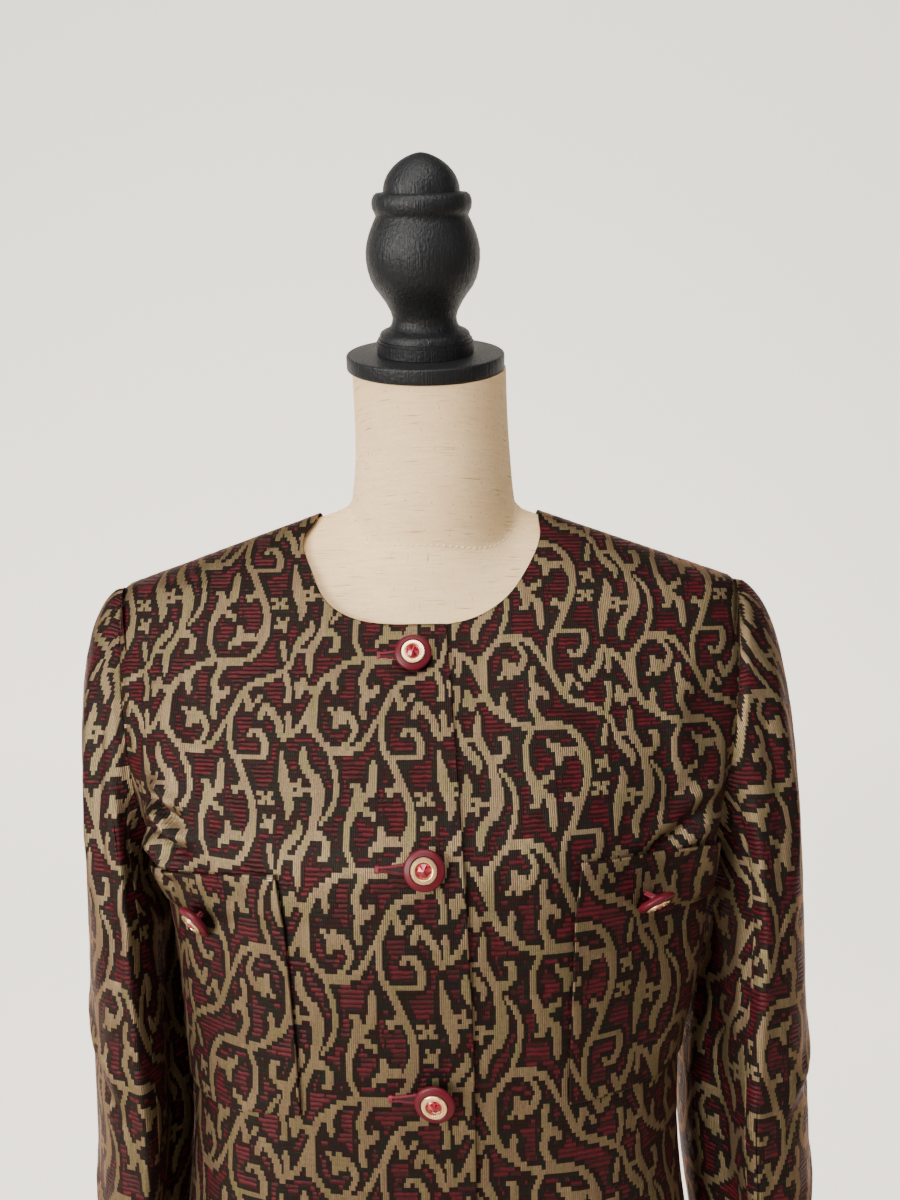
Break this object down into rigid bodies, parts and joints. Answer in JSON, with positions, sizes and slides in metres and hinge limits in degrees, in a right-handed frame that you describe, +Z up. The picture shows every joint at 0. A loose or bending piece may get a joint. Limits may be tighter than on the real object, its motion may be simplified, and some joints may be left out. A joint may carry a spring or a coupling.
{
  "type": "tapestry jacket on a dress form",
  "caption": "Collarless woven tapestry jacket with patch pockets and jewelled shank buttons, closed on a limbless linen dress form with a black turned knob, pole and round base.",
  "frame": {"origin": "centre of the round base's underside, on the floor, under the form's axis", "axes": "+Z up, the jacket's front faces -Y, the wearer's left is at +X"},
  "size_m": [0.4882, 0.34, 1.565],
  "materials": {
    "tapestry": "heavy woven tapestry, olive-gold leaf scrolls on ribbed burgundy",
    "linen": "natural linen with slubs, stretched over the form",
    "black_wood": "turned wood, satin black paint with the grain showing",
    "black_metal": "satin black powder coat",
    "burgundy": "polished resin",
    "gilt": "polished gilt",
    "red_glass": "faceted and foil backed, opaque"
  },
  "bodies": {
    "root": {"front_right": "tapestry", "front_left": "tapestry", "back": "tapestry", "sleeve_top_right": "tapestry", "sleeve_under_right": "tapestry", "sleeve_top_left": "tapestry", "sleeve_under_left": "tapestry", "pocket_right": "tapestry", "pocket_left": "tapestry", "button_1": "burgundy", "button_1_ring": "gilt", "button_1_stone": "red_glass", "button_2": "burgundy", "button_2_ring": "gilt", "button_2_stone": "red_glass", "button_3": "burgundy", "button_3_ring": "gilt", "button_3_stone": "red_glass", "button_4": "burgundy", "button_4_ring": "gilt", "button_4_stone": "red_glass", "button_pocket_right": "burgundy", "button_pocket_right_ring": "gilt", "button_pocket_right_stone": "red_glass", "button_pocket_left": "burgundy", "button_pocket_left_ring": "gilt", "button_pocket_left_stone": "red_glass", "dress_form": "linen", "neck_cap": "black_wood", "finial": "black_wood", "stand_pole": "black_metal", "stand_base": "black_metal"}
  },
  "joints": []
}
